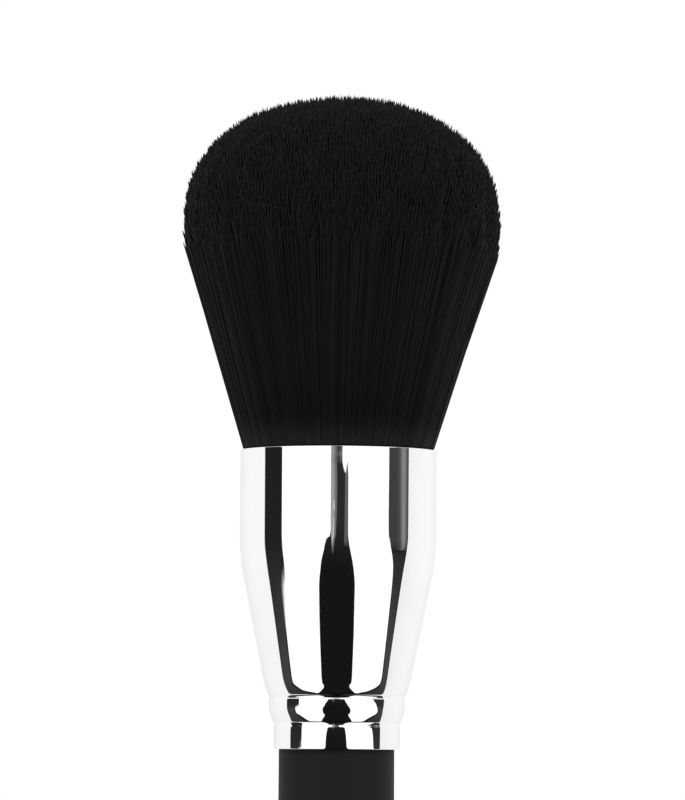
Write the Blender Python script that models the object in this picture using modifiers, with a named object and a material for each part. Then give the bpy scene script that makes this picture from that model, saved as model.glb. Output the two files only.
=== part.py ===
"""A powder brush, built from its separate pieces.

A turned wooden handle goes into a drawn metal ferrule, and a bound hair head is glued into the
ferrule's mouth. Lengths are metres, +Z is up and is the axis of the brush, and the world origin is
the centre of the handle's butt. The ferrule, the hair and what is inside the ferrule have their own
origin at the centre of the ferrule's mouth, so their heights are negative below it.
"""

import math

import bmesh
import bpy

# Clearance between two pieces that seat on each other, and how far a joined shape runs into its base
SEAT_GAP = 0.0003
OVERRUN = 0.0005

# Handle: the shoulder is a step inside the ferrule's foot, and the belly swells out from it
HANDLE_LENGTH = 0.1015
SHOULDER_STEP = 0.00024
SHOULDER_EDGE = 0.0002
BELLY_SWELL = 0.0006
BELLY_DROP = 0.0235
TAIL_RADIUS = 0.0048
BUTT_HEIGHT = 0.0052
BUTT_FLAT_RADIUS = 0.002
TENON_CHAMFER = 0.0012
TENON_AIR_SPACE = 0.0035

# Ferrule: radii are the outer ones, and its length is the sum of its four stretches
BODY_RADIUS = 0.01325
BODY_LENGTH = 0.012
TAPER_LENGTH = 0.0212
BAND_RADIUS = 0.0092
BAND_LENGTH = 0.0037
LOWER_BAND_STEP = 0.00063
LOWER_BAND_LENGTH = 0.0034
FERRULE_WALL = 0.0005
LIP_CURL = 0.00035
LIP_LENGTH = 0.001
LIP_LAND = 0.00035
FOOT_CURL = 0.0002
FOOT_EDGE = 0.00032
FOOT_LENGTH = 0.00035

# Hair head
HAIR_LENGTH = 0.0481
HEAD_RADIUS = 0.0214
DOME_HEIGHT = 0.0169
ROOT_DEPTH = 0.003
SLICE_THICKNESS = 0.002

# Binding thread
THREAD_DIAMETER = 0.0008
THREAD_SPACING = 0.0005

# Root glue
GLUE_LIP = 0.0008
GLUE_THICKNESS = 0.0052
GLUE_MENISCUS = 0.001

# Tenon glue
TENON_GLUE_START = 0.0012
TENON_GLUE_FILLET = 0.0015

# Ratios and counts, which don't change with the size of the brush
KNEE_LENGTH_SHARE = 0.37
KNEE_RADIUS_SHARE = 0.73
HIP_LENGTH_SHARE = 0.896
HIP_RADIUS_SHARE = 0.18
BAND_FLAT_SHARE = 0.3
BAND_FLAT_RADIUS_SHARE = 0.95
LOWER_BAND_FLAT_SHARE = 0.45
CREASE_SLOPE = 0.1
FOOT_SLOPE = 0.2
SHOULDER_SLOPE = -0.012
TAIL_SLOPE = 0.045
FLARE_SLOPE = 0.335
DOME_POWER = 2.1
STRAND_RINGS = 11
STRANDS_IN_FIRST_RING = 6
STRAND_FILL_SHARE = 0.77
STRAND_BODY_SHARE = 0.9
TIP_SCATTER_SHARE = 0.03
GOLDEN_SHARE = (math.sqrt(5) - 1) / 2
THREAD_TURNS = 4
THREAD_POINTS_A_TURN = 24
TURN_STEPS = 48
LIP_STEPS = 4
KNEE_STEPS = 4
HIP_STEPS = 3
BAND_STEPS = 4
FOOT_STEPS = 2
BELLY_STEPS = 4
TAPER_STEPS = 8
BUTT_STEPS = 6
MENISCUS_STEPS = 3
SHARP_ANGLE = math.radians(35)
MERGE_DISTANCE = 0.00001

# Each finish's colour, roughness and metallic value
FINISHES = {
    "black_lacquer": ((0.013, 0.013, 0.013), 0.42, 0),
    "polished_metal": ((0.9, 0.9, 0.9), 0.06, 1),
    "black_fibre": ((0.006, 0.006, 0.006), 0.5, 0),
    "waxed_thread": ((0.62, 0.56, 0.45), 0.8, 0),
    "cast_resin": ((0.55, 0.33, 0.12), 0.25, 0),
    "wood_glue": ((0.72, 0.66, 0.5), 0.5, 0),
}

# Places worked out from the sizes above
FERRULE_LENGTH = BODY_LENGTH + TAPER_LENGTH + BAND_LENGTH + LOWER_BAND_LENGTH
MOUTH_HEIGHT = HANDLE_LENGTH + SEAT_GAP + FERRULE_LENGTH
BORE_RADIUS = BODY_RADIUS - FERRULE_WALL
MOUTH_RADIUS = BORE_RADIUS - LIP_CURL
LOWER_BAND_RADIUS = BAND_RADIUS - LOWER_BAND_STEP
FOOT_RADIUS = LOWER_BAND_RADIUS - FOOT_CURL - FOOT_EDGE
HAIR_MOUTH_RADIUS = MOUTH_RADIUS - SEAT_GAP
FAN_DEPTH = HAIR_MOUTH_RADIUS / FLARE_SLOPE
DOME_CENTRE = HAIR_LENGTH - DOME_HEIGHT
SLICE_BOTTOM = -ROOT_DEPTH - SLICE_THICKNESS
ROOT_RADIUS = BORE_RADIUS - SEAT_GAP - THREAD_DIAMETER - SEAT_GAP
THREAD_PATH_RADIUS = ROOT_RADIUS + SEAT_GAP + THREAD_DIAMETER / 2
THREAD_PITCH = THREAD_DIAMETER + THREAD_SPACING
THREAD_TOP = SLICE_BOTTOM - SEAT_GAP - THREAD_DIAMETER / 2
THREAD_BOTTOM = THREAD_TOP - THREAD_TURNS * THREAD_PITCH
GLUE_LIP_TOP = THREAD_BOTTOM - THREAD_DIAMETER / 2 - SEAT_GAP
GLUE_TOP = GLUE_LIP_TOP - GLUE_LIP
ROOT_BOTTOM = GLUE_TOP + SEAT_GAP
GLUE_BOTTOM = GLUE_TOP - GLUE_THICKNESS
TENON_RADIUS = FOOT_RADIUS - FERRULE_WALL - SEAT_GAP
TENON_TOP = GLUE_BOTTOM - TENON_AIR_SPACE
SHOULDER_RADIUS = FOOT_RADIUS - SHOULDER_STEP


def clear_scene():
    for old in list(bpy.data.objects):
        bpy.data.objects.remove(old)


def new_collection(name):
    collection = bpy.data.collections.new(name)
    bpy.context.scene.collection.children.link(collection)
    return collection


def new_finish(name):
    """The material of one of the finishes above."""
    colour, roughness, metallic = FINISHES[name]
    finish = bpy.data.materials.new(name)
    finish.use_nodes = True
    shader = finish.node_tree.nodes["Principled BSDF"]
    shader.inputs["Base Color"].default_value = (*colour, 1)
    shader.inputs["Roughness"].default_value = roughness
    shader.inputs["Metallic"].default_value = metallic
    finish.diffuse_color = (*colour, 1)
    return finish


def bend(start, end, start_slope, end_slope, steps):
    """Points from start to end on a smooth curve that has the given slopes at its ends.

    A point is (radius, height) and a slope is radius gained per unit of height. The radius is the
    cubic in height that meets both radii and both slopes. The start point itself is left out.
    """
    run = end[1] - start[1]
    points = []
    for i in range(1, steps + 1):
        t = i / steps
        radius = (
            start[0] * (1 + 2 * t) * (1 - t) ** 2
            + end[0] * t**2 * (3 - 2 * t)
            + run * start_slope * t * (1 - t) ** 2
            - run * end_slope * t**2 * (1 - t)
        )
        points.append((radius, start[1] + run * t))
    return points


def quarter_turn(start, end, steps):
    """Points on a quarter of an ellipse that leaves start level and meets end upright.

    Read from end to start it leaves upright and meets level. The start point is left out.
    """
    points = []
    for i in range(1, steps + 1):
        angle = math.pi / 2 * i / steps
        radius = start[0] + (end[0] - start[0]) * math.sin(angle)
        height = start[1] + (end[1] - start[1]) * (1 - math.cos(angle))
        points.append((radius, height))
    return points


def hollow(rim, centre, steps):
    """Points from a hollow's rim to its centre on the axis: height is a parabola in the radius."""
    points = []
    for i in range(1, steps + 1):
        share = 1 - i / steps
        height = centre[1] + (rim[1] - centre[1]) * share**2
        points.append((rim[0] * share, height))
    return points


def ferrule_line():
    """The ferrule's outer line from the lip down to the foot.

    Below the rounded lip it runs straight, bends into a straight taper, and ends in two rolled
    bands, each of which starts at a crease.
    """
    fall = BODY_RADIUS - BAND_RADIUS
    body_end = (BODY_RADIUS, -BODY_LENGTH)
    knee = (
        BAND_RADIUS + fall * KNEE_RADIUS_SHARE,
        -BODY_LENGTH - TAPER_LENGTH * KNEE_LENGTH_SHARE,
    )
    hip = (
        BAND_RADIUS + fall * HIP_RADIUS_SHARE,
        -BODY_LENGTH - TAPER_LENGTH * HIP_LENGTH_SHARE,
    )
    taper_slope = (knee[0] - hip[0]) / (knee[1] - hip[1])
    crease = (BAND_RADIUS, -BODY_LENGTH - TAPER_LENGTH)
    band_flat = (
        LOWER_BAND_RADIUS + LOWER_BAND_STEP * BAND_FLAT_RADIUS_SHARE,
        crease[1] - BAND_LENGTH * BAND_FLAT_SHARE,
    )
    lower_crease = (LOWER_BAND_RADIUS, crease[1] - BAND_LENGTH)
    lower_flat = (
        LOWER_BAND_RADIUS,
        lower_crease[1] - LOWER_BAND_LENGTH * LOWER_BAND_FLAT_SHARE,
    )
    foot_top = (LOWER_BAND_RADIUS - FOOT_CURL, FOOT_LENGTH - FERRULE_LENGTH)
    foot = (FOOT_RADIUS, -FERRULE_LENGTH)

    lip = (MOUTH_RADIUS + LIP_LAND, 0)
    line = [lip]
    line += quarter_turn(lip, (BODY_RADIUS, -LIP_LENGTH), LIP_STEPS)
    line.append(body_end)
    line += bend(body_end, knee, 0, taper_slope, KNEE_STEPS)
    line.append(hip)
    line += bend(hip, crease, taper_slope, CREASE_SLOPE, HIP_STEPS)
    line.append(band_flat)
    line += bend(band_flat, lower_crease, 0, CREASE_SLOPE, BAND_STEPS)
    line.append(lower_flat)
    line += bend(lower_flat, foot_top, 0, FOOT_SLOPE, FOOT_STEPS)
    line += reversed(quarter_turn(foot, foot_top, FOOT_STEPS)[:-1])
    line.append(foot)
    return line


def ferrule_bore():
    """The ferrule's inner line, a wall's thickness inside its outer line, with half its points."""
    outer = ferrule_line()
    body_top = outer.index((BODY_RADIUS, -BODY_LENGTH)) - 1
    kept = [outer[body_top], *outer[body_top + 1 : -1 : 2], outer[-1]]
    lip = (MOUTH_RADIUS, 0)
    return [lip] + [(radius - FERRULE_WALL, height) for radius, height in kept]


def radius_on(line, height):
    """The radius of a line of points, read between the two points beside this height."""
    for upper, lower in zip(line, line[1:]):
        if lower[1] <= height <= upper[1]:
            share = (upper[1] - height) / (upper[1] - lower[1])
            return upper[0] + (lower[0] - upper[0]) * share
    return line[-1][0]


def fitted_to_bore(top, bottom):
    """The line that stays a seat gap inside the ferrule's bore between two heights."""
    bore = ferrule_bore()
    inside = [point for point in bore if bottom < point[1] < top]
    line = [(radius_on(bore, top), top), *inside, (radius_on(bore, bottom), bottom)]
    return [(radius - SEAT_GAP, height) for radius, height in line]


def place(piece, collection, height):
    """Puts a piece on the axis of the brush at a height, carried by the brush's empty."""
    collection.objects.link(piece)
    piece.parent = brush
    piece.location.z = height


def complete(piece, finish):
    """Keeps the shape that the modifiers make, shades it smooth and leaves its edges sharp."""
    bpy.context.view_layer.update()
    graph = bpy.context.evaluated_depsgraph_get()
    mesh = bpy.data.meshes.new_from_object(piece.evaluated_get(graph))
    piece.modifiers.clear()
    piece.data = mesh
    mesh.name = piece.name
    mesh.materials.clear()
    mesh.materials.append(finish)
    mesh.shade_smooth()
    mesh.set_sharp_from_angle(angle=SHARP_ANGLE)


def turned(name, line, closed):
    """An object that sweeps a line of (radius, height) points once round +Z.

    The line runs down its outer side, top to bottom. A closed line turns into a ring.
    """
    mesh = bpy.data.meshes.new(name)
    edges = [(i, i + 1) for i in range(len(line) - 1)]
    if closed:
        edges.append((len(line) - 1, 0))
    mesh.from_pydata([(radius, 0, height) for radius, height in line], edges, [])
    piece = bpy.data.objects.new(name, mesh)
    sweep = piece.modifiers.new("sweep", "SCREW")
    sweep.steps = TURN_STEPS
    sweep.render_steps = TURN_STEPS
    sweep.use_merge_vertices = True
    sweep.merge_threshold = MERGE_DISTANCE
    return piece


def make_handle():
    """Turned wood: a tenon, a shoulder, a belly to grip, a long taper and a rounded butt."""
    shoulder = (SHOULDER_RADIUS, HANDLE_LENGTH - SHOULDER_EDGE)
    belly = (SHOULDER_RADIUS + BELLY_SWELL, HANDLE_LENGTH - BELLY_DROP)
    tail = (TAIL_RADIUS, BUTT_HEIGHT)
    tenon_top = MOUTH_HEIGHT + TENON_TOP
    line = [
        (0, tenon_top),
        (TENON_RADIUS - TENON_CHAMFER, tenon_top),
        (TENON_RADIUS, tenon_top - TENON_CHAMFER),
        (TENON_RADIUS, HANDLE_LENGTH),
        (SHOULDER_RADIUS - SHOULDER_EDGE, HANDLE_LENGTH),
        shoulder,
    ]
    line += bend(shoulder, belly, SHOULDER_SLOPE, 0, BELLY_STEPS)
    line += bend(belly, tail, 0, TAIL_SLOPE, TAPER_STEPS)
    line += reversed(quarter_turn((BUTT_FLAT_RADIUS, 0), tail, BUTT_STEPS)[:-1])
    line += [(BUTT_FLAT_RADIUS, 0), (0, 0)]
    handle = turned("handle", line, False)
    place(handle, parts, 0)
    complete(handle, new_finish("black_lacquer"))


def make_ferrule():
    """A drawn metal tube: the outer line, the flat edge of its foot, and the bore back up."""
    ferrule = turned("ferrule", ferrule_line() + ferrule_bore()[::-1], True)
    place(ferrule, parts, MOUTH_HEIGHT)
    complete(ferrule, new_finish("polished_metal"))


def fan_scale(height):
    """How far the fan of strands has opened at a height, against its size at the mouth."""
    return (height + FAN_DEPTH) / FAN_DEPTH


def tip_height(share):
    """Where a strand meets the dome of the head.

    The strand leaves the mouth at this share of the hair's radius there. The head's outline is a
    cylinder up to the dome's centre and a superellipse above it, and the crossing is found by
    halving the interval between the mouth and the top of the head.
    """
    low, high = 0, HAIR_LENGTH
    while high - low > MERGE_DISTANCE:
        middle = (low + high) / 2
        across = share * HAIR_MOUTH_RADIUS * fan_scale(middle) / HEAD_RADIUS
        above = max(middle - DOME_CENTRE, 0) / DOME_HEIGHT
        if across**DOME_POWER + above**DOME_POWER < 1:
            low = middle
        else:
            high = middle
    return (low + high) / 2


def strand_layout():
    """Each strand as its four corners, (share, angle) pairs, and its middle's share and angle.

    A share is part of the hair's radius. The first strand is on the axis. Ring after ring round it
    holds six more strands than the ring before, so the spacing is even, and each ring is turned on
    from the last by the golden share of a full turn, so that no gaps line up.
    """
    pitch = 1 / (STRAND_RINGS + STRAND_FILL_SHARE / 2)
    half = pitch * STRAND_FILL_SHARE / 2
    yield [(half, math.tau * i / 4) for i in range(4)], 0, 0
    for ring in range(1, STRAND_RINGS + 1):
        count = ring * STRANDS_IN_FIRST_RING
        inner = ring * pitch - half
        outer = ring * pitch + half
        spread = math.pi * STRAND_FILL_SHARE / count
        for i in range(count):
            angle = math.tau * (i / count + ring * GOLDEN_SHARE)
            before = angle - spread
            after = angle + spread
            corners = [(inner, before), (outer, before), (outer, after), (inner, after)]
            yield corners, ring * pitch, angle


def on_fan(share, angle, height):
    """The point at a height on the ray that starts at the fan's centre below the mouth."""
    radius = share * HAIR_MOUTH_RADIUS * fan_scale(height)
    return radius * math.cos(angle), radius * math.sin(angle), height


def add_strand(strands, corners, share, angle, tip):
    """A straight strand of four sides that widens with the fan and then tapers to its tip."""
    root = -ROOT_DEPTH - OVERRUN
    body = tip * STRAND_BODY_SHARE
    lower = [strands.verts.new(on_fan(*corner, root)) for corner in corners]
    upper = [strands.verts.new(on_fan(*corner, body)) for corner in corners]
    point = strands.verts.new(on_fan(share, angle, tip))
    strands.faces.new(lower[::-1])
    for i in range(len(corners)):
        j = (i + 1) % len(corners)
        strands.faces.new((lower[i], lower[j], upper[j], upper[i]))
        strands.faces.new((upper[i], upper[j], point))


def make_strands():
    """All the strands in one helper object. Rays from one point never cross, and nor do they."""
    strands = bmesh.new()
    count = 0
    for corners, share, angle in strand_layout():
        scatter = TIP_SCATTER_SHARE * share * (count * GOLDEN_SHARE % 1)
        add_strand(strands, corners, share, angle, tip_height(share) * (1 - scatter))
        count += 1
    mesh = bpy.data.meshes.new("strands")
    strands.to_mesh(mesh)
    strands.free()
    helper = bpy.data.objects.new("strands", mesh)
    place(helper, cutters, MOUTH_HEIGHT)
    helper.hide_render = True
    helper.display_type = "WIRE"
    print("hair strands:", count)
    return helper


def make_bristles():
    """The hair: strands joined to the slice where the glue holds them, with the bound root below."""
    line = [
        (0, -ROOT_DEPTH),
        (HAIR_MOUTH_RADIUS, -ROOT_DEPTH),
        (HAIR_MOUTH_RADIUS, SLICE_BOTTOM),
        (ROOT_RADIUS, SLICE_BOTTOM),
        (ROOT_RADIUS, ROOT_BOTTOM),
        (0, ROOT_BOTTOM),
    ]
    bristles = turned("bristles", line, False)
    place(bristles, parts, MOUTH_HEIGHT)
    join = bristles.modifiers.new("strands", "BOOLEAN")
    join.operation = "UNION"
    join.object = make_strands()
    complete(bristles, new_finish("black_fibre"))


def make_binding_thread():
    """Thread wound round the hair's root in one unbroken helix."""
    steps = THREAD_TURNS * THREAD_POINTS_A_TURN
    path = []
    for i in range(steps + 1):
        turn = i / THREAD_POINTS_A_TURN
        angle = math.tau * turn
        x = THREAD_PATH_RADIUS * math.cos(angle)
        y = THREAD_PATH_RADIUS * math.sin(angle)
        path.append((x, y, THREAD_TOP - turn * THREAD_PITCH))
    curve = bpy.data.curves.new("binding_thread", "CURVE")
    curve.dimensions = "3D"
    curve.bevel_depth = THREAD_DIAMETER / 2
    curve.bevel_resolution = 1
    curve.use_fill_caps = True
    spline = curve.splines.new("POLY")
    spline.points.add(steps)
    for point, spot in zip(spline.points, path):
        point.co = (*spot, 1)
    thread = bpy.data.objects.new("binding_thread", curve)
    place(thread, parts, MOUTH_HEIGHT)
    curve.materials.append(new_finish("waxed_thread"))

    half_turn = THREAD_POINTS_A_TURN // 2
    least = min(
        math.dist(path[i], path[j])
        for i in range(len(path))
        for j in range(i + half_turn, len(path))
    )
    print(f"thread's least gap to itself: {least - THREAD_DIAMETER:.5f} m")


def make_root_glue():
    """Cast glue that fills the ferrule below the root, with a lip up round it and a hollow foot."""
    cup_radius = ROOT_RADIUS + SEAT_GAP
    line = [(0, GLUE_TOP), (cup_radius, GLUE_TOP), (cup_radius, GLUE_LIP_TOP)]
    line += fitted_to_bore(GLUE_LIP_TOP, GLUE_BOTTOM)
    centre = (0, GLUE_BOTTOM + GLUE_MENISCUS)
    line += hollow((line[-1][0], GLUE_BOTTOM), centre, MENISCUS_STEPS)
    glue = turned("root_glue", line, False)
    place(glue, parts, MOUTH_HEIGHT)
    complete(glue, new_finish("cast_resin"))


def make_tenon_glue():
    """The ring of glue that fills the wedge between the handle's tenon and the ferrule's bore."""
    inner_radius = TENON_RADIUS + SEAT_GAP
    lower_band_top = -BODY_LENGTH - TAPER_LENGTH - BAND_LENGTH
    bottom = lower_band_top + TENON_GLUE_START
    top = TENON_TOP - TENON_CHAMFER
    line = fitted_to_bore(top, bottom)
    line += [(inner_radius, bottom), (inner_radius, top - TENON_GLUE_FILLET)]
    glue = turned("tenon_glue", line, True)
    place(glue, parts, MOUTH_HEIGHT)
    complete(glue, new_finish("wood_glue"))


clear_scene()
parts = new_collection("powder_brush")
cutters = new_collection("cutters")
brush = bpy.data.objects.new("powder_brush", None)
parts.objects.link(brush)
make_handle()
make_ferrule()
make_bristles()
make_binding_thread()
make_root_glue()
make_tenon_glue()
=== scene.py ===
# %% [markdown]
# A powder brush in a small white studio.
#
# Three parts of the real brush can be seen: a bound head of black fibre, a polished metal ferrule and a
# turned wooden handle in black lacquer. Three more hide inside the ferrule: the thread that binds the
# root of the hair, the resin that holds the root, and the glue round the handle's tenon. The measured
# model fixes the size and place of all six. This script gives each of them its finished surface, then
# builds the light that polished metal needs around it, because metal has no look of its own: it shows
# the studio. Lengths are in metres, and +Z is the axis of the brush.

# %% Load the measured model
import math

import bpy
import numpy as np
from mathutils import Matrix, Vector


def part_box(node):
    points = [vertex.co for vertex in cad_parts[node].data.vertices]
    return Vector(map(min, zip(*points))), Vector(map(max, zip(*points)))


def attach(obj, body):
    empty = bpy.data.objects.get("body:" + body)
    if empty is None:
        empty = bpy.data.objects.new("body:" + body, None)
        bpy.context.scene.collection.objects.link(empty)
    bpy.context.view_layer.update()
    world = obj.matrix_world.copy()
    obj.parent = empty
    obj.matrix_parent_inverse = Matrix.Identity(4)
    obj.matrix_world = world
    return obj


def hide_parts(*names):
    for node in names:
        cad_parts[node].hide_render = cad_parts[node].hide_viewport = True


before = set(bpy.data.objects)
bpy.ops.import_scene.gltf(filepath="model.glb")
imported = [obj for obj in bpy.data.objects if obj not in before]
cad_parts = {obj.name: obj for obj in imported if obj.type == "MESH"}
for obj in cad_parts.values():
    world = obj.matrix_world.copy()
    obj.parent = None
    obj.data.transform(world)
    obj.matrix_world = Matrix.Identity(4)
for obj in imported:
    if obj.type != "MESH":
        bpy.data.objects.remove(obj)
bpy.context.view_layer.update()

MM = 0.001
FOOT_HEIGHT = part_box("ferrule")[0].z
MOUTH_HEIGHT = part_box("ferrule")[1].z
TENON_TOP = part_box("handle")[1].z
print(f"the ferrule runs from {FOOT_HEIGHT / MM:.1f} mm to its mouth at {MOUTH_HEIGHT / MM:.1f} mm")

# %% [markdown]
# How a surface is laid.
#
# Every visible piece of this brush is a surface of two parameters: how far along a line, and how far
# round. Blender could make them with a Screw modifier or a bevelled curve, but then the spacing of the
# rings, which polished metal needs fine only where it bends, is out of our hands. So points are worked
# out as whole numpy arrays, ring after ring, and one helper turns any such set of rings into a mesh.

# %% A mesh from rings of points


def ring_quads(rings, columns, wrap=False):
    """Quads between rings of points, where point c of ring r has number r * columns + c.

    Each quad joins a point, the one below it in the next ring, that one's neighbour and its own
    neighbour. The last column joins the first, and with wrap the last ring joins the first.
    """
    ring = np.arange(rings if wrap else rings - 1)[:, None]
    column = np.arange(columns)[None, :]
    beside = (column + 1) % columns
    below = (ring + 1) % rings * columns
    corners = [ring * columns + column, below + column, below + beside, ring * columns + beside]
    return np.stack(np.broadcast_arrays(*corners), axis=-1).reshape(-1, 4)


def lay(name, points, *blocks):
    """A smooth-shaded object from points (n, 3) and blocks of faces (m, corners), outside outwards."""
    corners = np.concatenate([block.ravel() for block in blocks])
    sizes = np.concatenate([np.full(len(block), block.shape[1]) for block in blocks])
    mesh = bpy.data.meshes.new(name)
    mesh.vertices.add(len(points))
    mesh.vertices.foreach_set("co", np.asarray(points, np.float32).ravel())
    mesh.loops.add(len(corners))
    mesh.loops.foreach_set("vertex_index", corners.astype(np.int32))
    mesh.polygons.add(len(sizes))
    mesh.polygons.foreach_set("loop_start", (np.cumsum(sizes) - sizes).astype(np.int32))
    mesh.update(calc_edges=True)
    mesh.validate()
    mesh.shade_smooth()
    piece = bpy.data.objects.new(name, mesh)
    bpy.context.scene.collection.objects.link(piece)
    return piece


def write_values(piece, name, values):
    """Stores one number for each point of a piece, for its material to read."""
    attribute = piece.data.attributes.new(name, "FLOAT", "POINT")
    attribute.data.foreach_set("value", np.asarray(values, np.float32))


def dress(piece, finish, slot, *nodes):
    """Gives a piece its finish, lets it ride on the brush and stand for the model's plain nodes."""
    piece.data.materials.append(finish)
    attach(piece, "root")
    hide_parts(*nodes)
    print(f"{piece.name}: {len(piece.data.polygons)} faces")


# %% [markdown]
# Lines that turn.
#
# A ferrule is drawn and then spun on a lathe, and a handle is turned on one, so both are a line carried
# once round the axis. A line is written as a few stations, each with a height, a radius and a slope,
# and between two stations the radius is the cubic that meets both radii and both slopes. That is how a
# draughtsman's spline works, and it keeps curvature smooth, which matters here: the eye doesn't see the
# shape of polished metal, it sees the bend in what the metal reflects.

# %% Lines and turned pieces


def spline(stations, steps):
    """Radii and heights along a line, as an array (n, 2), from stations (height, radius, slope).

    Slope is radius gained for each unit of height. Between stations, with t from 0 to 1 and run the
    height between them, the radius is r0 (1 + 2t)(1 - t)^2 + r1 t^2 (3 - 2t) + run s0 t (1 - t)^2
    - run s1 t^2 (1 - t). Each stretch has its own number of steps.
    """
    stretches = []
    for (h0, r0, s0), (h1, r1, s1), count in zip(stations, stations[1:], steps):
        t = np.arange(count) / count
        run = h1 - h0
        radius = r0 * (1 + 2 * t) * (1 - t) ** 2 + r1 * t**2 * (3 - 2 * t)
        radius += run * s0 * t * (1 - t) ** 2 - run * s1 * t**2 * (1 - t)
        stretches.append(np.stack([radius, h0 + run * t], axis=1))
    stretches.append(np.array([[stations[-1][1], stations[-1][0]]]))
    return np.concatenate(stretches)


def quarter(level, upright, steps):
    """A quarter of an ellipse between two (radius, height) points: level at one, upright at the other."""
    angle = np.linspace(0, math.pi / 2, steps + 1)
    radius = level[0] + (upright[0] - level[0]) * np.sin(angle)
    height = level[1] + (upright[1] - level[1]) * (1 - np.cos(angle))
    return np.stack([radius, height], axis=1)


def turned(name, line, columns, closed):
    """Carries a line (n, 2) of radii and heights round +Z.

    At angle a a point of the line lies at (radius cos a, radius sin a, height). A closed line makes
    a ring. An open one starts and ends on the axis, where one point and a fan of triangles close it.
    """
    angle = math.tau * np.arange(columns) / columns
    rings = line if closed else line[1:-1]
    x = rings[:, :1] * np.cos(angle)
    y = rings[:, :1] * np.sin(angle)
    z = np.broadcast_to(rings[:, 1:], x.shape)
    points = np.stack([x, y, z], axis=-1).reshape(-1, 3)
    quads = ring_quads(len(rings), columns, wrap=closed)
    if closed:
        return lay(name, points, quads)
    top, bottom = len(points), len(points) + 1
    points = np.concatenate([points, [[0, 0, line[0, 1]], [0, 0, line[-1, 1]]]])
    column = np.arange(columns)
    beside = (column + 1) % columns
    last = (len(rings) - 1) * columns
    upper = np.stack([np.full(columns, top), column, beside], axis=1)
    lower = np.stack([np.full(columns, bottom), last + beside, last + column], axis=1)
    return lay(name, points, quads, upper, lower)


# %% [markdown]
# The ferrule's line.
#
# The tube is straight below its mouth, bends into a long taper and ends in two rolled bands. Its taper
# doesn't stay straight: the last stretch turns in more and more, like the bottom of a bowl, and ends in a
# sharp step into the first groove. Each band is a bead with a raised upper edge, nearly upright below it
# and turning in towards the next groove. A mirror shows slopes and not radii, so the slopes of the bands
# were chosen first, each for the part of the studio that it should catch, and the radii follow from
# them. The radius that is left over goes into a ledge two hundredths of a millimetre high in the lower
# groove, where it doesn't show.

# %% Ferrule: its outer line and its bore
FERRULE_COLUMNS = 256
WALL = 0.5 * MM
MOUTH_RADIUS = 12.4 * MM
BODY_RADIUS = 13.25 * MM
LIP_LAND_RADIUS = 13.2 * MM
LIP_DROP = 0.05 * MM
INNER_LIP_DROP = 1.0 * MM
LIP_STEPS = 6
FOOT_STEPS = 8
BORE_THINNING = 3
TAPER_SLOPE = 0.1998
FOOT_RADIUS = 8.4 * MM

# Millimetres below the mouth, radius in millimetres, and slope
OUTER_STATIONS = [
    (0.05, 13.25, 0),
    (0.09, 13.25, 0),
    (12.0, 13.25, 0),
    (19.84, 12.157, TAPER_SLOPE),
    (30.53, 10.02, TAPER_SLOPE),
    (32.99, 9.275, 0.43),
    (33.09, 9.185, 0.4),
    (33.38, 9.095, 0.1),
    (33.62, 9.165, -0.05),
    (34.1, 9.179, 0.01),
    (34.5, 9.164, 0.065),
    (34.95, 9.117, 0.145),
    (35.45, 9.02, 0.245),
    (35.75, 8.939, 0.295),
    (36.3, 8.761, 0.35),
    (36.66, 8.632, 0.37),
    (36.68, 8.62, 0.6),
    (36.7, 8.405, 0.4),
    (36.72, 8.4, 0.06),
    (37.05, 8.412, -0.13),
    (37.14, 8.43, -0.27),
    (37.28, 8.468, -0.27),
    (37.34, 8.479, -0.1),
    (37.45, 8.486, -0.035),
    (38.3, 8.502, -0.003),
    (39.0, 8.501, 0.005),
    (39.5, 8.496, 0.012),
    (40.2, 8.485, 0.02),
]
OUTER_STEPS = [1, 1, 36, 2, 20, 6, 6, 10, 4, 4, 4, 5, 4, 5, 4, 1, 3, 1, 5, 3, 3, 2, 2, 3, 2, 2, 3]


def below_mouth(stations):
    """Stations given in millimetres below the mouth, as heights and radii in metres."""
    return [(MOUTH_HEIGHT - depth * MM, radius * MM, slope) for depth, radius, slope in stations]


side = spline(below_mouth(OUTER_STATIONS), OUTER_STEPS)
lip = quarter((LIP_LAND_RADIUS, MOUTH_HEIGHT), (BODY_RADIUS, MOUTH_HEIGHT - LIP_DROP), LIP_STEPS)
foot = quarter((FOOT_RADIUS, FOOT_HEIGHT), tuple(side[-1]), FOOT_STEPS)[::-1]
outer = np.concatenate([lip[:-1], side[:-1], foot])
bore = side[side[:, 1] < MOUTH_HEIGHT - INNER_LIP_DROP] - [WALL, 0]
bore = np.concatenate([bore[::BORE_THINNING], [[FOOT_RADIUS - WALL, FOOT_HEIGHT]]])[::-1]
inner_lip = quarter((MOUTH_RADIUS, MOUTH_HEIGHT), tuple(bore[-1]), LIP_STEPS)[::-1]
shell_line = np.concatenate([outer, bore[:-1], inner_lip])
ferrule = turned("ferrule_shell", shell_line, FERRULE_COLUMNS, closed=True)
print(f"ferrule line: {len(outer)} points outside, {len(bore)} inside")

# %% [markdown]
# The metal.
#
# The real finish is bright nickel or chrome over drawn brass, polished on a wheel. In Blender that is a
# Principled shader with Metallic at 1 and a pale grey colour. A flawless mirror looks false, so very
# fine rings from the polishing wheel tip the surface by a hair, and slow clouds, like the haze that
# fingers leave, raise the roughness a little. Both are noise, stretched round the axis for the rings.

# %% Small helpers for node trees


def node_tools(owner):
    """Two functions that add a node and a link to the tree of a material or of the world."""
    owner.use_nodes = True
    tree = owner.node_tree

    def node(kind, **values):
        made = tree.nodes.new(kind)
        for key, value in values.items():
            made.inputs[key].default_value = value
        return made

    return node, tree.links.new


def new_finish(name):
    """A material, its Principled shader, and its two functions."""
    finish = bpy.data.materials.new(name)
    node, link = node_tools(finish)
    return finish, finish.node_tree.nodes["Principled BSDF"], node, link


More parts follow.
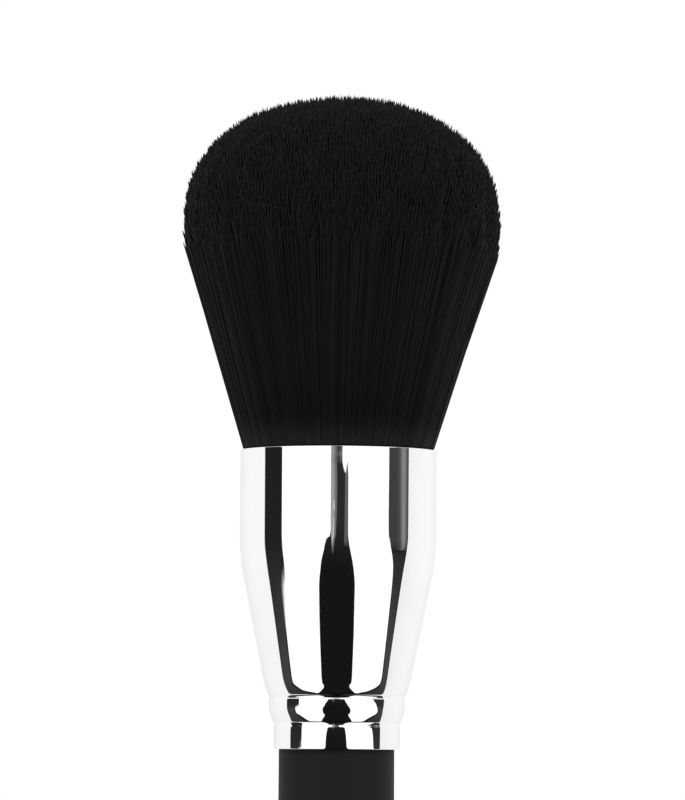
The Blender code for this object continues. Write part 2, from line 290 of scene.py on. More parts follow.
def cloud(node, link, stretch, scale, detail):
    """Noise from 0 to 1 in the piece's own space, each axis first multiplied by stretch."""
    place = node("ShaderNodeTexCoord")
    spread = node("ShaderNodeMapping", Scale=stretch)
    noise = node("ShaderNodeTexNoise", Scale=scale, Detail=detail)
    link(place.outputs["Object"], spread.inputs["Vector"])
    link(spread.outputs["Vector"], noise.inputs["Vector"])
    return noise.outputs[0]


def between(node, link, factor, low, high):
    """Takes a factor from 0 to 1 to the range from low to high."""
    spread = node("ShaderNodeMapRange")
    spread.inputs["To Min"].default_value = low
    spread.inputs["To Max"].default_value = high
    link(factor, spread.inputs["Value"])
    return spread.outputs["Result"]


def colour_mix(node, link, factor, first, second):
    """A colour from first to second as factor goes from 0 to 1. Each may be numbers or a socket."""
    mix = node("ShaderNodeMix")
    mix.data_type = "RGBA"
    link(factor, mix.inputs[0])
    # With data_type RGBA the colours are inputs 6 and 7, and the result is output 2
    for socket, colour in ((mix.inputs[6], first), (mix.inputs[7], second)):
        if isinstance(colour, bpy.types.NodeSocket):
            link(colour, socket)
        else:
            socket.default_value = (*colour, 1)
    return mix.outputs[2]


def add_bump(node, link, shader, height, strength, distance):
    """Tips the shader's normal by a height field, distance metres high at full strength."""
    bump = node("ShaderNodeBump", Strength=strength, Distance=distance)
    link(height, bump.inputs["Height"])
    link(bump.outputs["Normal"], shader.inputs["Normal"])


# %% Ferrule: polished metal


def polished_metal():
    """Bright metal: slow clouds of haze in its roughness, and fine rings from the wheel in its bump."""
    finish, shader, node, link = new_finish("polished_metal")
    shader.inputs["Metallic"].default_value = 1
    haze = cloud(node, link, stretch=(1, 1, 1), scale=160, detail=3)
    link(between(node, link, haze, 0.015, 0.04), shader.inputs["Roughness"])
    tone = colour_mix(node, link, haze, (0.905, 0.905, 0.90), (0.935, 0.935, 0.93))
    link(tone, shader.inputs["Base Color"])
    wheel_rings = cloud(node, link, stretch=(0.02, 0.02, 1), scale=9000, detail=2)
    add_bump(node, link, shader, wheel_rings, strength=0.015, distance=0.01 * MM)
    return finish


dress(ferrule, polished_metal(), "ferrule_metal", "ferrule")

# %% [markdown]
# The handle.
#
# The stick is turned from close-grained wood and dipped or sprayed with a matte black lacquer. It is
# straight where it leaves the ferrule, swells a little where the fingers hold it, then tapers to a round
# butt with a small flat. Above its shoulder a plain tenon goes up inside the ferrule. The shoulder is
# pushed hard against the ferrule's foot, so no gap shows there.

# %% Handle: a turned stick
HANDLE_COLUMNS = 160
SHOULDER_RADIUS = 7.79 * MM
SHOULDER_EDGE = 0.08 * MM
SHOULDER_HEIGHT = FOOT_HEIGHT - 0.01 * MM
TENON_RADIUS = 7.25 * MM
TENON_CHAMFER = 1.2 * MM
BUTT_FLAT_RADIUS = 2.0 * MM
BUTT_HEIGHT = 5.2 * MM
TENON_RING_SHARE = 0.99
BUTT_RING_SHARE = 0.97
EDGE_STEPS = 4
STICK_STEPS = [8, 24, 60]
BUTT_STEPS = 24

# Height above the butt, radius, and slope
STICK_STATIONS = [
    (SHOULDER_HEIGHT - SHOULDER_EDGE, SHOULDER_RADIUS, -0.001),
    (95 * MM, SHOULDER_RADIUS + 0.015 * MM, -0.006),
    (78 * MM, 8.41 * MM, 0),
    (BUTT_HEIGHT, 4.8 * MM, 0.045),
]


def stick_line():
    """Down the tenon, out over the shoulder and its small rounded edge, down the stick, round the butt."""
    chamfer_top = TENON_RADIUS - TENON_CHAMFER
    tenon = [
        (0, TENON_TOP),
        (chamfer_top * TENON_RING_SHARE, TENON_TOP),
        (chamfer_top, TENON_TOP),
        (TENON_RADIUS, TENON_TOP - TENON_CHAMFER),
        (TENON_RADIUS, SHOULDER_HEIGHT),
    ]
    shoulder = (SHOULDER_RADIUS - SHOULDER_EDGE, SHOULDER_HEIGHT)
    edge = quarter(shoulder, (SHOULDER_RADIUS, SHOULDER_HEIGHT - SHOULDER_EDGE), EDGE_STEPS)
    stick = spline(STICK_STATIONS, STICK_STEPS)
    butt = quarter((BUTT_FLAT_RADIUS, 0), tuple(stick[-1]), BUTT_STEPS)[::-1]
    flat = [(BUTT_FLAT_RADIUS * BUTT_RING_SHARE, 0), (0, 0)]
    return np.concatenate([tenon, edge[:-1], stick[:-1], butt, flat])


handle = turned("handle_stick", stick_line(), HANDLE_COLUMNS, closed=False)


def black_lacquer():
    """Matte black lacquer: a fine orange-peel ripple, and patches a little duller than the rest."""
    finish, shader, node, link = new_finish("black_lacquer")
    shader.inputs["Specular IOR Level"].default_value = 0.1
    patches = cloud(node, link, stretch=(1, 1, 0.3), scale=220, detail=4)
    link(between(node, link, patches, 0.56, 0.66), shader.inputs["Roughness"])
    tone = colour_mix(node, link, patches, (0.0105, 0.0105, 0.0105), (0.0135, 0.0134, 0.0132))
    link(tone, shader.inputs["Base Color"])
    ripple = cloud(node, link, stretch=(1, 1, 0.6), scale=2600, detail=2)
    add_bump(node, link, shader, ripple, strength=0.1, distance=0.02 * MM)
    return finish


dress(handle, black_lacquer(), "handle_lacquer", "handle")

# %% [markdown]
# The hair.
#
# A large powder brush holds tens of thousands of soft synthetic fibres. They leave the mouth packed
# tight, press out over the rim and spread straight, like rays from a point below, and their ends are
# set to a dome before the root is glued. Blender's hair system could grow them, but curves with no mesh
# would be lost outside Blender, so each strand is a fine three-sided tube that ends in a point. One set
# of arrays holds every strand: its share of the bundle's radius, its angle, and the height of its tip.

# %% Hair: the fan and the dome
LOCKS = 8
STRANDS_IN_LOCK = 7000
ROOT_DEPTH = 3.2 * MM
ROOT_RADIUS = 12.3 * MM
FAN_START = 0.3 * MM
FAN_RADIUS = 12.82 * MM
FAN_SLOPE = 0.3035
HEAD_RADIUS = 21.32 * MM
WIDEST_HEIGHT = 31.3 * MM
DOME_HEIGHT = 16.3 * MM
DOME_POWER = 2.18
BELLY_REACH = 34.1 * MM
LOWEST_TIP = 20.0 * MM
HALVINGS = 26
ANGLE_SCATTER = 0.003
INNERMOST_SHARE = 0.05
SEED = 7


def fan_radius(height):
    """The bundle's radius at a height above the mouth: a straight line from FAN_START up."""
    return FAN_RADIUS + FAN_SLOPE * height


def dome_height(share):
    """Where the ray of each share meets the dome, found by halving an interval HALVINGS times.

    With rise as the height above the widest level, the dome's radius is HEAD_RADIUS times
    (1 - (rise / DOME_HEIGHT)^p)^(1 / p) above that level, where p is DOME_POWER, and times
    1 - (rise / BELLY_REACH)^2 below it.
    """
    low = np.full_like(share, LOWEST_TIP)
    high = np.full_like(share, WIDEST_HEIGHT + DOME_HEIGHT)
    for _ in range(HALVINGS):
        middle = (low + high) / 2
        rise = middle - WIDEST_HEIGHT
        above = (1 - np.clip(rise / DOME_HEIGHT, 0, 1) ** DOME_POWER) ** (1 / DOME_POWER)
        below = 1 - (np.minimum(rise, 0) / BELLY_REACH) ** 2
        inside = share * fan_radius(middle) < HEAD_RADIUS * above * below
        low = np.where(inside, middle, low)
        high = np.where(inside, high, middle)
    return (low + high) / 2


random = np.random.default_rng(SEED)
GOLDEN_ANGLE = math.pi * (3 - math.sqrt(5))
strand_count = LOCKS * STRANDS_IN_LOCK
number = np.arange(strand_count)
share = np.sqrt((number + random.uniform(0, 1, strand_count)) / strand_count)
angle_scatter = random.normal(0, ANGLE_SCATTER, strand_count) / np.maximum(share, INNERMOST_SHARE)
angle = number * GOLDEN_ANGLE + angle_scatter
across = np.stack([share * np.cos(angle), share * np.sin(angle)], axis=1)
tip = dome_height(share)
print(f"{strand_count} strands, tips from {tip.min() / MM:.1f} to {tip.max() / MM:.1f} mm above the mouth")

# %% [markdown]
# Strands that aren't quite alike.
#
# A dome cut by a perfect surface looks like rubber. Real ends differ by a tenth or two of a millimetre,
# one in five stands a little proud, and the ends of neighbours draw together into small pointed tufts.
# The tufts come from a grid of cells, each with its own centre: strands lean towards it, and the nearest
# to it are the longest. They show most round the shoulder, where a few of the outermost strands are also
# a little loose. Slow waves over the whole bundle add a gentle lie, as hair has after a few uses, and the
# whole head bends a little to the right, with its left shoulder higher, as in the photograph.

# %% Hair: scatter, tufts and lie
SCATTER = 0.1 * MM
STRAY_SHARE = 0.2
STRAY_REACH = 0.72 * MM
TUFT_CELLS = 108
TUFT_GATHER = 0.3
TUFT_POINT = 0.06 * MM
TUFT_LEVEL = 0.35
TUFT_CENTRES = (0.2, 0.8)
SHOULDER_TUFT_POINT = 0.6 * MM
SHOULDER_POWER = 6
LIE_WAVES = 9
LIE_REACH = 0.2 * MM
LIE_RIPPLES = (12, 60)
WANDER = 0.03 * MM
LOOSE_FROM = 0.93
LOOSE_SHARE = 0.12
LOOSE_REACH = 0.26 * MM
SHOULDER_TILT = 0.76 * MM
TILT_AT_AXIS = 1.6
TILT_FALL = 1.1
HEAD_LEAN = 0.0048
HEAD_BEND = 0.24

cell = np.clip(((across + 1) / 2 * TUFT_CELLS).astype(int), 0, TUFT_CELLS - 1)
centres = random.uniform(*TUFT_CENTRES, (TUFT_CELLS, TUFT_CELLS, 2))
centre = (cell + centres[cell[:, 0], cell[:, 1]]) / TUFT_CELLS * 2 - 1
to_centre = centre - across
distance = np.linalg.norm(to_centre, axis=1) * TUFT_CELLS / 2

sway = random.normal(0, WANDER, (strand_count, 2)) + TUFT_GATHER * HEAD_RADIUS * to_centre
for _ in range(LIE_WAVES):
    heading = random.normal(0, 1, 2)
    ripples = random.uniform(*LIE_RIPPLES)
    wave = across @ (heading / np.linalg.norm(heading)) * ripples + random.uniform(0, math.tau)
    sway += random.normal(0, LIE_REACH / math.sqrt(LIE_WAVES), 2) * np.sin(wave)[:, None]

loose = (share > LOOSE_FROM) & (random.uniform(0, 1, strand_count) < LOOSE_SHARE)
loose_way = loose * random.uniform(0, LOOSE_REACH, strand_count)
sway += loose_way[:, None] * across

tip -= np.abs(random.normal(0, SCATTER, strand_count))
tuft_point = TUFT_POINT + SHOULDER_TUFT_POINT * share**SHOULDER_POWER
tip += tuft_point * (TUFT_LEVEL - np.minimum(distance, 1))
strays = random.uniform(0, 1, strand_count) < STRAY_SHARE
tip += strays * random.uniform(0, STRAY_REACH, strand_count)
# The tilt grows with the square of the way to the side, and falls off towards the outside
sideways = across[:, 0] * np.abs(across[:, 0])
tip -= SHOULDER_TILT * sideways * (TILT_AT_AXIS - TILT_FALL * share**2)
print(f"{int(strays.sum())} strays, and {TUFT_CELLS * TUFT_CELLS} cells for tufts")

# %% Hair: tubes of three sides
SIDES = 3
STRAND_RADIUS = 0.072 * MM
POINT_LENGTH = 0.45 * MM
RIM_CLEAR = 0.02 * MM
MIDDLE_SHARE = 0.5
TONE_STEPS = 32
TONE_SPREAD = (2, 3)
OUTER_SHARE = 0.93
ALL_LEVELS = np.arange(7)
FEW_LEVELS = np.array([0, 3, 5, 6])
# The strand's thickness at each level, as a share of STRAND_RADIUS
LEVEL_THICKNESS = np.array([0.65, 0.65, 0.68, 0.75, 1, 1.12, 0])
STOUTNESS = (0.88, 1.12)
COLUMN_MARGIN = 0.15
END_MARGIN = 0.02
ROOT_FACE_DIP = 0.01

tone_step = (random.beta(*TONE_SPREAD, strand_count) * TONE_STEPS).astype(int)
stoutness = random.uniform(*STOUTNESS, strand_count)
turn = random.uniform(0, math.tau, strand_count)


def strand_lines(chosen, levels):
    """The middle line (strands, levels, 3) of each chosen strand, and the share of its length there.

    The levels are at the root, just below the mouth, at its rim, where the fan starts, halfway,
    where the point starts, and the tip. Across the bundle a level lies at its strand's share of the
    bundle's radius there. The sway grows with the square of the height.
    """
    top = tip[chosen]
    heights = np.empty((len(top), len(ALL_LEVELS)))
    heights[:, :4] = -ROOT_DEPTH, -FAN_START, RIM_CLEAR, FAN_START
    heights[:, 4] = FAN_START + (top - FAN_START) * MIDDLE_SHARE
    heights[:, 5] = top - POINT_LENGTH
    heights[:, 6] = top
    bundle = np.where(heights < FAN_START, ROOT_RADIUS, fan_radius(heights))
    bundle[:, 2] = MOUTH_RADIUS
    climb = np.clip((heights - FAN_START) / (top - FAN_START)[:, None], 0, 1) ** 2
    flat = bundle[:, :, None] * across[chosen][:, None, :] + climb[:, :, None] * sway[chosen][:, None, :]
    above_mouth = np.maximum(heights, 0)
    flat[:, :, 0] += HEAD_LEAN * above_mouth + HEAD_BEND * above_mouth**2
    lines = np.concatenate([flat, (heights + MOUTH_HEIGHT)[:, :, None]], axis=2)
    along = (heights + ROOT_DEPTH) / (top + ROOT_DEPTH)[:, None]
    return lines[:, levels], along[:, levels]


def tubes(chosen, levels):
    """Tubes of SIDES sides along the chosen strands.

    The result is their points, their quads and their triangles, each as faces with their places on the
    map, and then every point's tone and its share of the strand's length. A ring's points lie round
    its centre in the level plane, at the strand's own turn plus equal steps.
    Strands stand within 20 degrees of upright, so a level ring is square enough. The map has a column
    for each step of tone and runs up it with the share of the length, so strands of one tone share it.
    """
    lines, along = strand_lines(chosen, levels)
    count, rings = along.shape
    spoke = turn[chosen][:, None] + math.tau * np.arange(SIDES) / SIDES
    spokes = np.stack([np.cos(spoke), np.sin(spoke), np.zeros_like(spoke)], axis=-1)
    radius = STRAND_RADIUS * stoutness[chosen][:, None] * LEVEL_THICKNESS[levels[:-1]]
    body = lines[:, :-1, None, :] + radius[:, :, None, None] * spokes[:, None, :, :]
    points = np.concatenate([body.reshape(count, -1, 3), lines[:, -1:, :]], axis=1)
    share_up = np.concatenate([np.repeat(along[:, :-1], SIDES, axis=1), along[:, -1:]], axis=1)

    size = (rings - 1) * SIDES + 1
    side = np.arange(SIDES)
    last = (rings - 2) * SIDES
    quads = ring_quads(rings - 1, SIDES)[:, ::-1]
    point_faces = np.stack([last + side, last + (side + 1) % SIDES, np.full(SIDES, size - 1)], axis=1)
    root_face = side[::-1][None, :]
    triangles = np.concatenate([point_faces, root_face])

    column = np.tile(side, rings - 2)
    quad_u = np.stack([column + 1, column + 1, column, column], axis=1) / SIDES
    point_u = np.stack([side, side + 1, side + 0.5], axis=1) / SIDES
    triangle_u = np.concatenate([point_u, [[0, 1, 0.5]]])
    triangle_rise = np.zeros((SIDES + 1, 3))
    triangle_rise[-1, -1] = -ROOT_FACE_DIP

    def shared(faces, u, rise):
        """The faces of every strand, and where each corner lies on the map."""
        start = size * np.arange(count)[:, None, None]
        column_share = COLUMN_MARGIN + (1 - 2 * COLUMN_MARGIN) * u[None]
        corner_u = (tone_step[chosen][:, None, None] + column_share) / TONE_STEPS
        corner_v = END_MARGIN + (1 - 2 * END_MARGIN) * (share_up[:, faces] + rise[None])
        places = np.stack(np.broadcast_arrays(corner_u, corner_v), axis=-1)
        return (start + faces[None]).reshape(-1, faces.shape[1]), places.reshape(-1, 2)

    tone = np.repeat((tone_step[chosen] + 0.5) / TONE_STEPS, size)
    quad_part = shared(quads, quad_u, np.zeros_like(quad_u))
    triangle_part = shared(triangles, triangle_u, triangle_rise)
    return points.reshape(-1, 3), quad_part, triangle_part, tone, share_up.ravel()


def hair_lock(name, chosen):
    """One piece from the chosen strands: those near the outside follow every level, the rest only a few."""
    outside = share[chosen] > OUTER_SHARE
    points, quads, triangles, tone, along = tubes(chosen[outside], ALL_LEVELS)
    more_points, more_quads, more_triangles, more_tone, more_along = tubes(chosen[~outside], FEW_LEVELS)
    shift = len(points)
    piece = lay(
        name, np.concatenate([points, more_points]),
        np.concatenate([quads[0], more_quads[0] + shift]),
        np.concatenate([triangles[0], more_triangles[0] + shift]),
    )
    places = np.concatenate([quads[1], more_quads[1], triangles[1], more_triangles[1]])
    piece.data.uv_layers.new(name="OFBake").data.foreach_set("uv", places.astype(np.float32).ravel())
    write_values(piece, "tone", np.concatenate([tone, more_tone]))
    write_values(piece, "along", np.concatenate([along, more_along]))
    return piece


# %% [markdown]
# The fibre's finish.
#
# The fibre is dyed through, nearly black and hardly glossy. A shader for a black thing is mostly
# about what it reflects, so the specular level is very low, or the head would turn grey in a white
# room. Each strand carries a tone of its own, and every point knows its share of the strand's
# length. Two marks of painted light use that share. The fibre is painted a little paler at its thin
# tip, for light that shines through the ends. Near the rim of the ferrule it is painted greyer, a
# painted reflection of the light that the polished rim throws into it.

# %% Hair: black fibre


def stored_value(node, name):
    """The number that write_values stored under a name."""
    stored = node("ShaderNodeAttribute")
    stored.attribute_name = name
    return stored.outputs["Fac"]


def ramp(node, link, value, start, end, kind="LINEAR"):
    """Goes from 0, where a value is start, to 1, where it is end."""
    spread = node("ShaderNodeMapRange")
    spread.interpolation_type = kind
    spread.inputs["From Min"].default_value = start
    spread.inputs["From Max"].default_value = end
    link(value, spread.inputs["Value"])
    return spread.outputs["Result"]


def black_fibre():
    """Dyed fibre: its tone by strand, with painted light: greyer near the rim of the ferrule, paler at the
    thin tip.
    """
    finish, shader, node, link = new_finish("black_fibre")
    shader.inputs["Roughness"].default_value = 0.6
    shader.inputs["Specular IOR Level"].default_value = 0.135
    tone = stored_value(node, "tone")
    along = stored_value(node, "along")
    body = colour_mix(node, link, tone, (0.0056, 0.0056, 0.0056), (0.008, 0.0079, 0.0077))
    # Painted reflection: near the mouth the fibre is painted greyer, for light that the ferrule's polished
    # rim throws into it
    painted_rim_light = ramp(node, link, along, start=0.25, end=0.07, kind="SMOOTHSTEP")
    rim_lit_fibre = colour_mix(node, link, painted_rim_light, body, (0.029, 0.0285, 0.028))
    # Painted light: the last fortieth of each strand is painted paler, for light that shines through the
    # thin tip
    painted_tip_light = ramp(node, link, along, start=0.975, end=1)
    tip_lit_fibre = colour_mix(node, link, painted_tip_light, rim_lit_fibre, (0.0115, 0.0113, 0.011))
    link(tip_lit_fibre, shader.inputs["Base Color"])
    return finish


fibre = black_fibre()
order = np.argsort(np.mod(angle, math.tau), kind="stable")
for lock in range(LOCKS):
    chosen = order[lock * STRANDS_IN_LOCK : (lock + 1) * STRANDS_IN_LOCK]
    dress(hair_lock(f"hair_lock_{lock + 1}", chosen), fibre, "bristle_fibre", "bristles")

# %% [markdown]
# Inside the ferrule.
#
# Below the mouth the fibres are packed into a solid root. It is bound with thread and its cut ends sit
# in a cup of resin. None of this shows, but a piece that is there should be right when someone takes
# the ferrule off, so the root gets the ridges of packed fibre and the thread its twist.

# %% Root: packed fibre
ROOT_TOP = 3.0 * MM
BOUND_TOP = 5.0 * MM
BOUND_BOTTOM = 12.1 * MM
BOUND_RADIUS = 11.35 * MM
RIDGES = 90
RIDGE_DEPTH = 0.06 * MM
RIDGE_COLUMNS = 6
ROOT_TONE = 0.4
ROOT_ALONG = 0.5

root_line = np.array(
    [
        (0, -ROOT_TOP),
        (ROOT_RADIUS - RIDGE_DEPTH * 2, -ROOT_TOP),
        (ROOT_RADIUS, -ROOT_TOP - RIDGE_DEPTH * 2),
        (ROOT_RADIUS, -BOUND_TOP + RIDGE_DEPTH * 2),
        (BOUND_RADIUS, -BOUND_TOP - RIDGE_DEPTH * 2),
        (BOUND_RADIUS, -BOUND_BOTTOM + RIDGE_DEPTH),
        (BOUND_RADIUS - RIDGE_DEPTH, -BOUND_BOTTOM),
        (0, -BOUND_BOTTOM),
    ]
)
root_line[:, 1] += MOUTH_HEIGHT
root = turned("hair_root", root_line, RIDGES * RIDGE_COLUMNS, closed=False)
places = np.empty(len(root.data.vertices) * 3, np.float32)
root.data.vertices.foreach_get("co", places)
places = places.reshape(-1, 3)
# Each ridge lowers the radius by RIDGE_DEPTH times (1 - cos(RIDGES * angle)) / 2 at the root's edge
ridges = (1 - np.cos(RIDGES * np.arctan2(places[:, 1], places[:, 0]))) / 2
places[:, :2] *= 1 - RIDGE_DEPTH / ROOT_RADIUS * ridges[:, None]
root.data.vertices.foreach_set("co", places.ravel())
write_values(root, "tone", np.full(len(places), ROOT_TONE))
write_values(root, "along", np.full(len(places), ROOT_ALONG))
dress(root, fibre, "bristle_fibre", "bristles")

# %% Thread: three plies, twisted, wound four times
THREAD_RADIUS = 0.4 * MM
THREAD_PATH_RADIUS = 12.05 * MM
THREAD_TOP = 5.7 * MM
THREAD_PITCH = 1.3 * MM
THREAD_TURNS = 4
THREAD_STEPS = 160
THREAD_SIDES = 24
PLIES = 3
PLY_DEPTH_SHARE = 0.22
PLY_TWISTS = 26


def wound_thread():
    """A helix of THREAD_TURNS turns whose section has a lobe for each ply, and turns as it goes.

    With w the angle round the brush and a the angle round the thread, the thread's radius is
    THREAD_RADIUS (1 - depth (1 - cos(PLIES (a - PLY_TWISTS w))) / 2).
    """
    steps = THREAD_TURNS * THREAD_STEPS
    turns = np.arange(steps + 1)[:, None] / THREAD_STEPS
    way = math.tau * turns
    round_it = math.tau * np.arange(THREAD_SIDES)[None, :] / THREAD_SIDES
    lobes = (1 - np.cos(PLIES * (round_it - PLY_TWISTS * way))) / 2
    tube = THREAD_RADIUS * (1 - PLY_DEPTH_SHARE * lobes)
    out = THREAD_PATH_RADIUS + tube * np.cos(round_it)
    height = MOUTH_HEIGHT - THREAD_TOP - THREAD_PITCH * turns + tube * np.sin(round_it)
    points = np.stack([out * np.cos(way), out * np.sin(way), height], axis=-1).reshape(-1, 3)
    first = np.arange(THREAD_SIDES)[None, :]
    last = first[:, ::-1] + steps * THREAD_SIDES
    quads = ring_quads(steps + 1, THREAD_SIDES)
    return lay("wound_thread", points, quads[:, ::-1], first, last)


def waxed_thread():
    """Undyed thread, dulled by wax: its fibres show as fine streaks of tone."""
    finish, shader, node, link = new_finish("waxed_thread")
    shader.inputs["Roughness"].default_value = 0.7
    streaks = cloud(node, link, stretch=(1, 1, 4), scale=3000, detail=3)
    tone = colour_mix(node, link, streaks, (0.5, 0.44, 0.34), (0.7, 0.64, 0.52))
    link(tone, shader.inputs["Base Color"])
    add_bump(node, link, shader, streaks, strength=0.3, distance=0.03 * MM)
    return finish


dress(wound_thread(), waxed_thread(), "thread", "binding_thread")

# %% [markdown]
# Resin and wood glue.
#
# Both are cast in place, so the measured shapes are the real ones, and they keep them. Only the finish
# is new: amber resin with a few small bubbles under its skin, and cream wood glue with a dull skin.

# %% Resin and wood glue: finishes for the measured shapes


def cast_resin():
    """Amber resin: clouds of tone, and the dents of small bubbles under the skin."""
    finish, shader, node, link = new_finish("cast_resin")
    shader.inputs["Roughness"].default_value = 0.2
    clouds = cloud(node, link, stretch=(1, 1, 1), scale=300, detail=3)
    tone = colour_mix(node, link, clouds, (0.42, 0.22, 0.06), (0.62, 0.4, 0.16))
    link(tone, shader.inputs["Base Color"])
    place = node("ShaderNodeTexCoord")
    bubbles = node("ShaderNodeTexVoronoi", Scale=1400)
    link(place.outputs["Object"], bubbles.inputs["Vector"])
    add_bump(node, link, shader, bubbles.outputs["Distance"], strength=0.15, distance=0.05 * MM)
    return finish


def wood_glue():
    """Cream glue: a dull skin, uneven in tone and slightly wrinkled."""
    finish, shader, node, link = new_finish("wood_glue")
    skin = cloud(node, link, stretch=(1, 1, 0.5), scale=700, detail=4)
    link(between(node, link, skin, 0.45, 0.65), shader.inputs["Roughness"])
    tone = colour_mix(node, link, skin, (0.62, 0.55, 0.38), (0.76, 0.7, 0.54))
    link(tone, shader.inputs["Base Color"])
    add_bump(node, link, shader, skin, strength=0.25, distance=0.05 * MM)
    return finish


for node_name, finish in (("root_glue", cast_resin()), ("tenon_glue", wood_glue())):
    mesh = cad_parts[node_name].data
    mesh.materials.clear()
    mesh.materials.append(finish)
    print(f"{node_name}: measured shape kept, {len(mesh.polygons)} faces")

# %% [markdown]
# A studio for a mirror.
#
# Metal this bright shows whatever stands around it, so a photographer lights the cards and not the
# brush. Two tall softboxes stand at the front, left and right, in black frames. Grey flags close the
# gaps beside them, and between the softboxes is a dark shape, wide below and narrow above, where the
# camera stands. A pale wall goes round behind. All of them stand on a drum close round the brush, as
# strips between a left and a right edge that may change with height. Only reflections see them: the
# soft light on matte surfaces comes from the white room and two lamps, so a card can be as near as it
# needs to be. Metal that leans by an angle shows what stands twice that angle lower, so a place on a
# card is found from a place in the photograph by mirroring the camera's ray in the ferrule's line.

# %% Studio: how a card is made
DRUM_RADIUS = 110 * MM
CARD_COLUMNS = 32
CARD_STEP = 3
LAYER_GAP = 0.5 * MM
STUDIO_TURN = 0.7


def studio_finish(name):
    """A material with no shader yet, its surface socket, and its two functions."""
    finish, shader, node, link = new_finish(name)
    nodes = finish.node_tree.nodes
    nodes.remove(shader)
    return finish, nodes["Material Output"].inputs["Surface"], node, link


# Painted light: every card glows. Apart from the softboxes, no card is a lamp: its brightness is the light
# or shade that the cloth, frame, wall or fitting it stands for would have, painted as emission.
def lit_card():
    """An emission material whose strength is the brightness stored on each point."""
    finish, surface, node, link = studio_finish("lit_card")
    light = node("ShaderNodeEmission")
    link(stored_value(node, "brightness"), light.inputs["Strength"])
    link(light.outputs["Emission"], surface)
    return finish


card_finish = lit_card()


def card_sheet(name, rings, brightness):
    """A sheet from rows of points (rows, columns, 3) and their brightness, that only reflections see."""
    rows, columns = rings.shape[:2]
    corner = (np.arange(rows - 1)[:, None] * columns + np.arange(columns - 1)).reshape(-1, 1)
    piece = lay(name, rings.reshape(-1, 3), corner + np.array([0, 1, columns + 1, columns]))
    write_values(piece, "brightness", np.broadcast_to(brightness, (rows, columns)).ravel())
    piece.data.materials.append(card_finish)
    piece.visible_camera = False
    piece.visible_diffuse = False
    piece.visible_shadow = False
    print(f"{name}: {rows} by {columns} points")


def card(name, layer, edges, tones, shades=((0, 1), (1, 1))):
    """A curved card on the drum.

    edges lists (height in mm, left azimuth, right azimuth) from top to bottom. Azimuth is in degrees
    round +Z, 0 towards the camera at -Y and 90 at +X, and a point at azimuth a on a drum of radius r
    lies at (r sin a, -r cos a). The whole studio is turned by STUDIO_TURN. tones are spread evenly
    from the left edge to the right one, and shades lists (height in mm, factor). A higher layer
    stands nearer to the brush.
    """
    table = np.array(edges, float)[::-1]
    shade = np.array(shades, float)
    inner = shade[(shade[:, 0] > table[0, 0]) & (shade[:, 0] < table[-1, 0]), 0]
    steps = np.arange(table[0, 0], table[-1, 0], CARD_STEP)
    height = np.unique(np.concatenate([table[:, 0], inner, steps]))
    left = np.interp(height, table[:, 0], table[:, 1])[:, None]
    right = np.interp(height, table[:, 0], table[:, 2])[:, None]
    place = np.linspace(0, 1, CARD_COLUMNS + 1)
    azimuth = np.radians(left + (right - left) * place + STUDIO_TURN)
    radius = DRUM_RADIUS - layer * LAYER_GAP
    level = np.broadcast_to(height[:, None] * MM, azimuth.shape)
    rings = np.stack([radius * np.sin(azimuth), -radius * np.cos(azimuth), level], axis=-1)
    tone = np.interp(place, np.linspace(0, 1, len(tones)), tones)
    card_sheet(name, rings, np.interp(height, shade[:, 0], shade[:, 1])[:, None] * tone)


# %% [markdown]
# Softboxes.
#
# Each box is a strip of even light in a black frame. The frame shows as the dark line that edges the
# taper's bright field. Both boxes are wider at the very top, which only the grooves show. Where the left
# one widens, halfway down, a small reflector stands beside it, with light that fades towards its top.

# %% Studio: softboxes in black frames
TOP = 190
FLAG_TOP = 165
FRAME_TOP = 125
BOX_LIGHT = 1.2
FRAME_SIDE = 2.2
FRAME_DROP = 4
FRAME_TONE = 0.008

LEFT_BOX = [
    (TOP, -69, -8.8), (149.5, -69, -8.8), (148, -66.2, -8.8), (136, -66.1, -8.8),
    (134, -66, -8.6), (131, -65.7, -12), (119, -65.5, -15), (109.4, -65.2, -17.5),
    (103, -65.3, -19.4), (99, -66.1, -20.2), (95, -71.4, -21),
    (91, -73.4, -22.2), (87.4, -73.9, -23.2), (83.5, -74.3, -24), (79.5, -74.3, -24.5),
    (70, -74.8, -24.6), (66.6, -74.6, -24.6), (60.9, -72.3, -24.6), (54.7, -69, -24.4),
    (48.1, -65.4, -22.5), (41.3, -61.2, -22.9), (37, -57.6, -24.4), (34.4, -54.5, -25.8),
    (27.3, -46, -29.6), (20.2, -38, -34.1),
]
RIGHT_BOX = [
    (TOP, 3.6, 67), (149.5, 3.6, 66), (148, 3.6, 57.5), (145.1, 3.6, 57.5),
    (143.9, 4.8, 57.5), (143.1, 6.8, 57.5), (143.0, 10.2, 57.5), (136, 10.2, 57.2),
    (134, 10.4, 57.5), (131, 10.8, 58.6), (119.5, 12, 61), (109.5, 14.1, 64.6),
    (103.3, 15.8, 66.6), (99, 16.9, 67.7), (93.4, 18.4, 69.1), (87.4, 20.2, 70.6),
    (83.2, 21, 71.4), (79.3, 21.8, 72.1), (72, 22.4, 72.3), (67, 22.5, 72.1), (61.3, 22.5, 70.4),
    (55, 22.2, 67.3), (48.4, 20.1, 63), (41.5, 20.6, 58), (37.2, 22.5, 55), (34.7, 23.7, 52.4),
    (27.6, 27.6, 44.5), (20.5, 32, 37.8),
]


